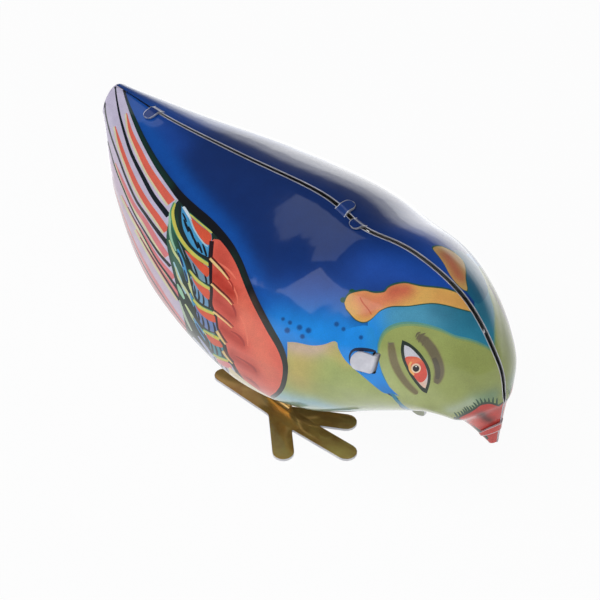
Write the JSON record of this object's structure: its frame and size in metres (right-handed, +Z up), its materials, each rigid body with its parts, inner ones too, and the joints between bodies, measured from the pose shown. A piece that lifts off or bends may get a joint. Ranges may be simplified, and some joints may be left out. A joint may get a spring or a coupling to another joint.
{
  "type": "wind-up tin bird toy",
  "caption": "Pecking tin bird with two printed half shells, red beak and stamped gilt feet, over an open clockwork that rocks the body on its hinged legs.",
  "frame": {"origin": "on the floor, under the middle of the whole toy's box, with the feet flat on the floor", "axes": "+X from tail to beak, +Y to the bird's left, +Z up"},
  "size_m": [0.0916, 0.047, 0.0434],
  "materials": {
    "printed_tin": "gloss lacquered print on tinplate: blue back, coral wing, striped tail, olive face",
    "gold_lacquer": "transparent gold lacquer on tinplate with bare cut edges",
    "plate_steel": "bare rolled tinplate, dull silver",
    "turned_steel": "turned or stamped bright steel",
    "key_steel": "tin-plated stamped steel",
    "spring_steel": "blued spring steel with an oil film",
    "wheel_brass": "stamped brass, slightly dulled"
  },
  "bodies": {
    "bird_body": {"right_body_half": "printed_tin", "left_body_half": "printed_tin", "right_movement_plate": "plate_steel", "left_movement_plate": "plate_steel", "plate_pillar_rear": "plate_steel", "plate_pillar_top": "plate_steel", "plate_pillar_front": "plate_steel", "plate_pillar_lower": "plate_steel", "mainspring": "spring_steel"},
    "great_wheel_set": {"great_wheel": "wheel_brass", "click_pawl": "turned_steel", "click_rivet": "turned_steel", "click_spring": "spring_steel"},
    "winding_set": {"winding_arbor": "turned_steel", "ratchet_wheel": "turned_steel", "winding_key": "key_steel"},
    "second_set": {"second_arbor": "turned_steel", "second_pinion": "wheel_brass", "second_wheel": "wheel_brass"},
    "crank_set": {"crank_arbor": "turned_steel", "crank_pinion": "wheel_brass", "crank_disc": "turned_steel", "crank_pin": "turned_steel"},
    "leg_set": {"leg_axle": "plate_steel", "right_leg": "gold_lacquer", "left_leg": "gold_lacquer", "crank_lever": "plate_steel", "lever_spacer": "wheel_brass"}
  },
  "joints": [
    {"name": "great_wheel_turn", "type": "hinge", "parent": "bird_body", "child": "great_wheel_set", "pos_m": [-0.00542, -0.0029, 0.0181], "axis": [0, 1, 0], "continuous": true},
    {"name": "key_turn", "type": "hinge", "parent": "bird_body", "child": "winding_set", "pos_m": [-0.00542, -0.0029, 0.0181], "axis": [0, 1, 0], "continuous": true},
    {"name": "second_turn", "type": "hinge", "parent": "bird_body", "child": "second_set", "pos_m": [0.00208, -0.0029, 0.02486], "axis": [0, 1, 0], "continuous": true},
    {"name": "crank_turn", "type": "hinge", "parent": "bird_body", "child": "crank_set", "pos_m": [0.00945, -0.0029, 0.01951], "axis": [0, 1, 0], "continuous": true},
    {"name": "leg_rock", "type": "hinge", "parent": "bird_body", "child": "leg_set", "pos_m": [0.003, -0.0029, 0.012], "axis": [0, 1, 0], "range_deg": [-18, 8]}
  ],
  "couplings": [
    {"joint": "key_turn", "follows": "great_wheel_turn", "ratio": 1},
    {"joint": "second_turn", "follows": "great_wheel_turn", "ratio": -4},
    {"joint": "crank_turn", "follows": "great_wheel_turn", "ratio": 14}
  ]
}
